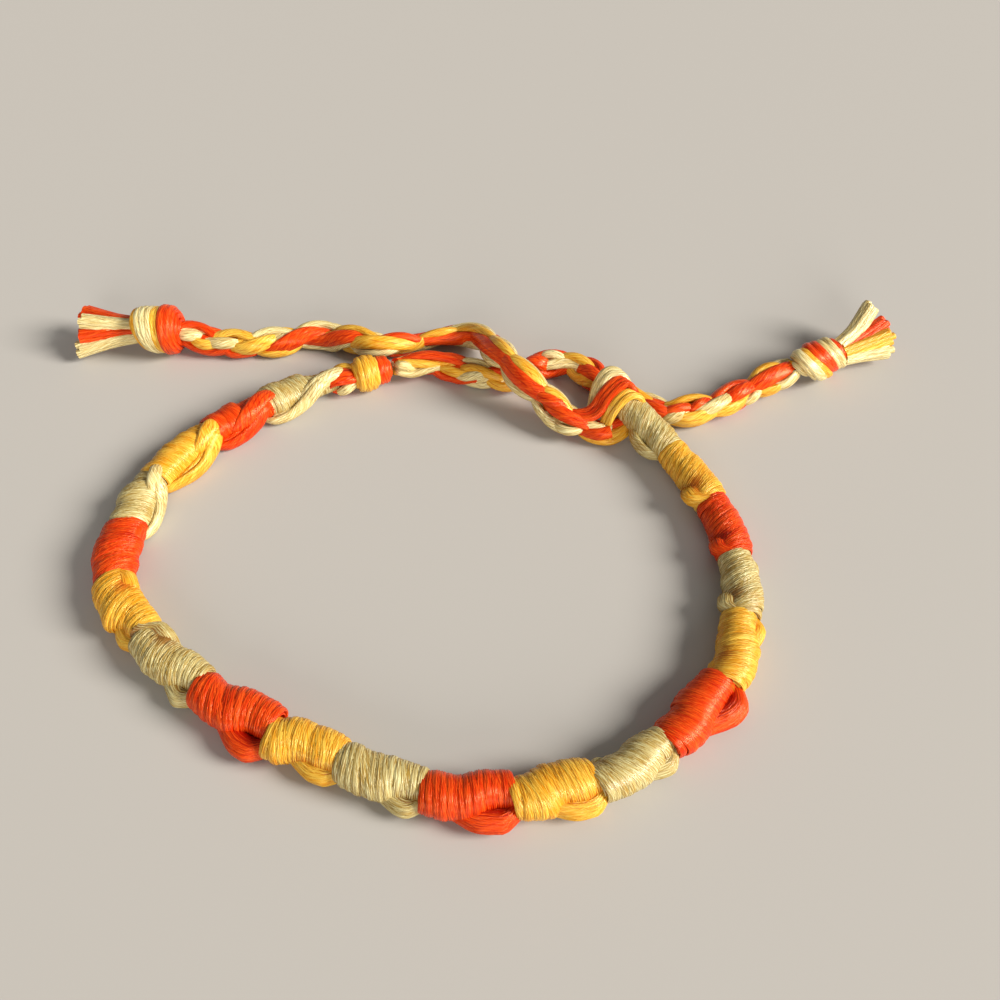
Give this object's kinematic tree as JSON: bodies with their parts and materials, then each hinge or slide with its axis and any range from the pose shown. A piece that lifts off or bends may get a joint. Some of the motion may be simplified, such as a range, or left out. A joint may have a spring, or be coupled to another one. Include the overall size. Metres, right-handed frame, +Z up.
{
  "type": "knotted friendship bracelet",
  "caption": "Narrow band of hitched embroidery floss in colour blocks, curled into an open loop, with a braided, knotted and fringed tie at each end.",
  "frame": {"origin": "middle of the band's bounding box, on the surface that it lies on", "axes": "+Z up from the surface, +X along the band's longer way across, from the finishing knot's side to the folded groups' side, +Y towards the tails"},
  "size_m": [0.1052, 0.0682, 0.0064],
  "materials": {
    "thread_pale": "mercerised cotton floss, silky",
    "thread_orange": "mercerised cotton floss, silky",
    "thread_yellow": "mercerised cotton floss, silky",
    "thread_mixed": "mercerised cotton floss in three colours, silky"
  },
  "bodies": {
    "root": {"hitches_01_pale": "thread_pale", "hitches_02_orange": "thread_orange", "hitches_03_yellow": "thread_yellow", "hitches_04_pale": "thread_pale", "hitches_05_orange": "thread_orange", "hitches_06_yellow": "thread_yellow", "hitches_07_pale": "thread_pale", "hitches_08_orange": "thread_orange", "hitches_09_yellow": "thread_yellow", "hitches_10_pale": "thread_pale", "hitches_11_orange": "thread_orange", "hitches_12_yellow": "thread_yellow", "hitches_13_pale": "thread_pale", "hitches_14_orange": "thread_orange", "hitches_15_yellow": "thread_yellow", "hitches_16_pale": "thread_pale", "hitches_17_orange": "thread_orange", "hitches_18_yellow": "thread_yellow", "hitches_19_pale": "thread_pale", "carried_strands": "thread_mixed", "folded_pale": "thread_pale", "folded_orange": "thread_orange", "folded_yellow": "thread_yellow", "end_lead": "thread_orange", "finishing_knot": "thread_mixed", "start_tail": "thread_mixed", "start_tail_knot": "thread_mixed", "start_tail_fringe": "thread_mixed", "finish_tail": "thread_mixed", "finish_tail_knot": "thread_mixed", "finish_tail_fringe": "thread_mixed"}
  },
  "joints": []
}
